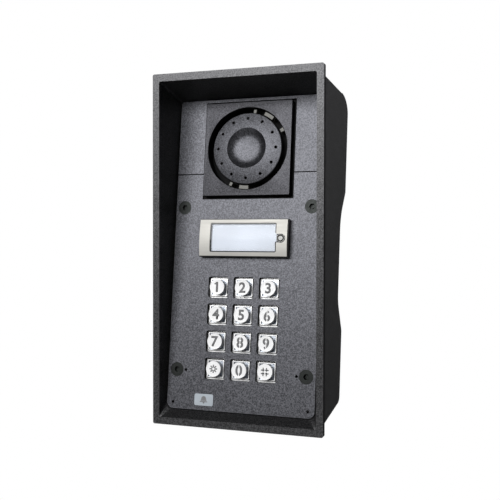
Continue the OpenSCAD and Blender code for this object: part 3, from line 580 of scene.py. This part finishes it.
def startDigit(key):
    clearSelection()
    bpy.ops.object.text_add(location=(0, 0, 0))
    digit = bpy.context.object
    digit.data.body = "6" if key == "9" else key
    digit.data.size = legendShape["digit"] * mm
    digit.data.offset = legendShape["bolder"] * mm
    digit.data.fill_mode = "FRONT"
    pick(digit)
    bpy.ops.object.convert(target="MESH")
    digit = bpy.context.object
    bpy.ops.object.origin_set(type="ORIGIN_GEOMETRY", center="BOUNDS")
    digit.location = (0, 0, 0)
    # a nine is a six turned over
    digit.rotation_euler = (math.radians(90), math.radians(180 if key == "9" else 0), 0)
    bpy.ops.object.transform_apply(location=True, rotation=True, scale=True)
    if key == "1":
        startStroke(legendShape["flagWide"], legendShape["flagLong"])
        bpy.ops.transform.rotate(value=math.radians(legendShape["flagTurn"]), orient_axis="Y",
                                 center_override=(0, 0, 0))
        top = max(point.co.z for point in digit.data.vertices)
        bpy.ops.transform.translate(value=(legendShape["flagAside"] * mm, 0.005 * mm,
                                           top - legendShape["flagDown"] * mm))
        stopEditing()
        digit.select_set(True)
        bpy.context.view_layer.objects.active = digit
        bpy.ops.object.join()
    return digit


def cutBridge(digit):
    # a stencil's gap: an upright bar is taken out of the numeral's middle
    clearSelection()
    bpy.ops.mesh.primitive_cube_add(size=1, location=(0, 0, 0))
    bar = bpy.context.object
    bar.scale = (2 * legendShape["bridge"] * mm, 4 * mm, 20 * mm)
    bpy.ops.object.transform_apply(location=True, rotation=True, scale=True)
    gap = digit.modifiers.new("Boolean", "BOOLEAN")
    gap.object = bar
    gap.solver = "EXACT"
    pick(digit)
    bpy.ops.object.modifier_apply(modifier=gap.name)
    bpy.data.objects.remove(bar)


def startStroke(width, length):
    clearSelection()
    bpy.ops.mesh.primitive_plane_add(size=1, location=(0, 0, 0), rotation=(math.radians(90), 0, 0))
    stroke = bpy.context.object
    stroke.scale = (width * mm, length * mm, 1)
    bpy.ops.object.transform_apply(location=True, rotation=True, scale=True)
    bpy.ops.object.mode_set(mode="EDIT")
    bpy.ops.mesh.select_all(action="SELECT")
    bpy.ops.mesh.bevel(offset=0.3 * width * mm, segments=3, affect="VERTICES")
    return stroke


def startStar():
    star = startStroke(legendShape["strokeWide"], legendShape["strokeLong"])
    bpy.ops.transform.translate(value=(0, 0, legendShape["starRadius"] * mm))
    for turn in range(7):
        bpy.ops.mesh.duplicate()
        bpy.ops.transform.rotate(value=math.radians(45), orient_axis="Y", center_override=(0, 0, 0))
    stopEditing()
    return star


def startHash():
    half = legendShape["hashPitch"] / 2 * mm
    gap = legendShape["hashGap"] * mm
    sign = startStroke(legendShape["hashWide"], legendShape["hashLong"])
    bpy.ops.transform.translate(value=(-half, 0, 0))
    for turn in range(3):
        bpy.ops.mesh.duplicate()
        bpy.ops.transform.rotate(value=math.radians(90), orient_axis="Y", center_override=(0, 0, 0))
    stopEditing()
    for at in ((1, 0, 0), (0, 0, 1)):
        for step in (-gap, gap):
            pickFaces(sign, lambda face: True)
            bpy.ops.mesh.bisect(plane_co=tuple(step * a for a in at), plane_no=at)
            stopEditing()
    pickFaces(sign, lambda face: abs(face.center.x) < gap or abs(face.center.z) < gap)
    bpy.ops.mesh.delete(type="FACE")
    stopEditing()
    return sign


def printLegend(key):
    low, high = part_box("key_face_" + key)
    legend = {"star": startStar, "hash": startHash}.get(key, lambda: startDigit(key))()
    pick(legend)
    thicken = legend.modifiers.new("Solidify", "SOLIDIFY")
    thicken.thickness = legendShape["thick"] * mm
    thicken.offset = 0
    bpy.ops.object.modifier_apply(modifier=thicken.name)
    if key in bridged:
        cutBridge(legend)
    middle = (low + high) / 2
    legend.location = (middle.x, low.y + (faceShape["dish"] + 0.02) * mm, middle.z)
    paint(legend, legendInk)
    return settle(legend, "legend_" + key, "key_" + key)


firstCap = modelKeyCap("5")
firstFace = modelKeyFace("5")
for key in keyNames:
    for first, node, slotName in ((firstCap, "key_cap_", "chrome"), (firstFace, "key_face_", "white_key")):
        piece = copyTo(first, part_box(node + key)[0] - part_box(node + "5")[0])
        settle(piece, node + key + "_finished", "key_" + key)
        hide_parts(node + key)
    printLegend(key)
for first in (firstCap, firstFace):
    bpy.data.objects.remove(first)
print("keys and legends made")

# the bright screw in the name plate, radii and steps in mm
plateScrewShape = {"head": 1.2, "shank": 1.0, "lip": 0.5, "groove": 0.35, "ring": 0.45, "button": 0.3,
                   "crown": 0.1, "edge": 0.12}


def modelPlateScrew():
    low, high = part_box("button_screw")
    middle = (low + high) / 2
    head = plateScrewShape["head"] * mm
    clearSelection()
    bpy.ops.mesh.primitive_cylinder_add(vertices=64, radius=(high.x - low.x) / 2, depth=head,
                                        location=(middle.x, low.y + head / 2, middle.z),
                                        rotation=(math.radians(90), 0, 0))
    screw = bpy.context.object
    bpy.ops.object.transform_apply(location=True, rotation=True, scale=True)
    pickFaces(screw, frontFace(screw))
    bpy.ops.mesh.inset(thickness=plateScrewShape["lip"] * mm)
    bpy.ops.mesh.extrude_region_move(TRANSFORM_OT_translate={"value": (0, plateScrewShape["groove"] * mm, 0)})
    bpy.ops.mesh.inset(thickness=plateScrewShape["ring"] * mm)
    button = plateScrewShape["button"] * mm
    bpy.ops.mesh.extrude_region_move(TRANSFORM_OT_translate={"value": (0, -button, 0)})
    bpy.ops.mesh.inset(thickness=button)
    bpy.ops.transform.translate(value=(0, -plateScrewShape["crown"] * mm, 0))
    stopEditing()
    pickFaces(screw, lambda face: face.normal.y > 0.9)
    bpy.ops.mesh.inset(thickness=(high.x - low.x) / 2 - plateScrewShape["shank"] * mm)
    bpy.ops.mesh.extrude_region_move(TRANSFORM_OT_translate={"value": (0, high.y - low.y - head, 0)})
    stopEditing()
    groove = low.y + 0.8 * plateScrewShape["groove"] * mm
    roundEdges(screw, plateScrewShape["edge"] * mm, 2)
    paint(screw, screwSteel)
    # painted shade: the floor of the groove round the screw head is given soot black
    paintFaces(screw, sootBlack, lambda face: face.normal.y < -0.9 and face.center.y > groove
               and face.center.y < low.y + 0.6 * mm)
    settle(screw, "button_screw_finished", "call_button")
    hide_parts("button_screw")
    return screw


modelPlateScrew()
print("name plate screw made")

# a plain bell on the badge, sizes in mm
bellShape = {"radius": 1.6, "skirt": 1.35, "flare": 1.3, "brimWide": 5.0, "brimTall": 0.6, "brimDrop": 0.5,
             "clapper": 0.6, "clapperDrop": 1.05, "thick": 0.06, "lift": 0.75}


def modelBell():
    low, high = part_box("badge")
    middle = (low + high) / 2
    radius = bellShape["radius"] * mm
    clearSelection()
    bpy.ops.mesh.primitive_circle_add(vertices=32, radius=radius, fill_type="NGON", location=(0, 0, 0),
                                      rotation=(math.radians(90), 0, 0))
    bell = bpy.context.object
    bpy.ops.object.transform_apply(location=True, rotation=True, scale=True)
    bpy.ops.object.mode_set(mode="EDIT")
    bpy.ops.mesh.select_mode(type="VERT")
    bpy.ops.mesh.select_all(action="DESELECT")
    stopEditing()
    for point in bell.data.vertices:
        point.select = point.co.z < -0.05 * radius
    bpy.ops.object.mode_set(mode="EDIT")
    bpy.ops.transform.resize(value=(1, 1, 0), center_override=(0, 0, 0))
    bpy.ops.transform.translate(value=(0, 0, -bellShape["skirt"] * mm))
    bpy.ops.transform.resize(value=(bellShape["flare"], 1, 1), center_override=(0, 0,
                                                                                -bellShape["skirt"] * mm))
    stopEditing()
    brim = startStroke(bellShape["brimTall"], bellShape["brimWide"])
    bpy.ops.transform.rotate(value=math.radians(90), orient_axis="Y", center_override=(0, 0, 0))
    bpy.ops.transform.translate(value=(0, 0, -(bellShape["skirt"] + bellShape["brimDrop"]) * mm))
    stopEditing()
    clearSelection()
    bpy.ops.mesh.primitive_circle_add(vertices=20, radius=bellShape["clapper"] * mm, fill_type="NGON",
                                      location=(0, 0, -(bellShape["skirt"] + bellShape["clapperDrop"]) * mm),
                                      rotation=(math.radians(90), 0, 0))
    clapper = bpy.context.object
    bpy.ops.object.transform_apply(location=True, rotation=True, scale=True)
    for part in (bell, brim, clapper):
        part.select_set(True)
    bpy.context.view_layer.objects.active = bell
    bpy.ops.object.join()
    thicken = bell.modifiers.new("Solidify", "SOLIDIFY")
    thicken.thickness = bellShape["thick"] * mm
    thicken.offset = 0
    bpy.ops.object.modifier_apply(modifier=thicken.name)
    bell.location = (middle.x, low.y, middle.z + bellShape["lift"] * mm)
    paint(bell, legendInk)
    return settle(bell, "badge_bell", "housing")


modelBell()
print("badge bell made")

studio = {"floorDrop": 0.36, "floorSize": 0.98, "ambient": 0.02}
clearSelection()
bpy.ops.mesh.primitive_plane_add(size=studio["floorSize"], location=(0, 0, -studio["floorDrop"]))
floor = bpy.context.object
floor.name = "floor"
paint(floor, plastic("paleFloor", {"color": (0.82, 0.82, 0.82), "dark": 1.06, "rough": (0.6, 0.7)}))

world = bpy.data.worlds.new("studio")
bpy.context.scene.world = world
world.use_nodes = True
worldNodes = world.node_tree.nodes
worldLinks = world.node_tree.links
worldNodes.clear()
output = worldNodes.new("ShaderNodeOutputWorld")
seen = worldNodes.new("ShaderNodeBackground")
seen.inputs["Color"].default_value = (1, 1, 1, 1)
dim = worldNodes.new("ShaderNodeBackground")
dim.inputs["Strength"].default_value = studio["ambient"]
rays = worldNodes.new("ShaderNodeLightPath")
choose = worldNodes.new("ShaderNodeMixShader")
worldLinks.new(rays.outputs["Is Camera Ray"], choose.inputs["Fac"])
worldLinks.new(dim.outputs["Background"], choose.inputs[1])
worldLinks.new(seen.outputs["Background"], choose.inputs[2])
worldLinks.new(choose.outputs["Shader"], output.inputs["Surface"])

# soft lights: place, width, height and power
softLights = {
    "frontLight": ((-0.38, -1.95, 0.57), 1.75, 0.84, 38),
    "topLight": ((0.2, 0.6, 2.2), 1.2, 1.0, 2),
    "sideLight": ((2.2, 1.0, 0.7), 1.2, 1.2, 20),
    "leftLight": ((-2.4, 0.4, 0.7), 1.2, 1.2, 16),
    "backLight": ((-1.2, 2.2, 1.4), 1.6, 1.2, 16),
}
for name, (place, width, height, power) in softLights.items():
    light = bpy.data.lights.new(name, "AREA")
    light.shape = "RECTANGLE"
    light.size = width
    light.size_y = height
    light.energy = power
    box = bpy.data.objects.new(name, light)
    bpy.context.scene.collection.objects.link(box)
    box.location = place
    box.rotation_euler = (-Vector(place)).to_track_quat("-Z", "Y").to_euler()

view = {"place": (0.161186, -0.507426, -0.044651), "turn": (95.469, -2.352, 18.892), "lens": 56.154}
camera = bpy.data.cameras.new("camera")
camera.lens = view["lens"]
camera.sensor_width = 36
camera.clip_start = 0.01
viewer = bpy.data.objects.new("camera", camera)
bpy.context.scene.collection.objects.link(viewer)
viewer.location = view["place"]
viewer.rotation_euler = tuple(math.radians(angle) for angle in view["turn"])
bpy.context.scene.camera = viewer
bpy.context.scene.view_settings.view_transform = "Standard"
print("studio ready")
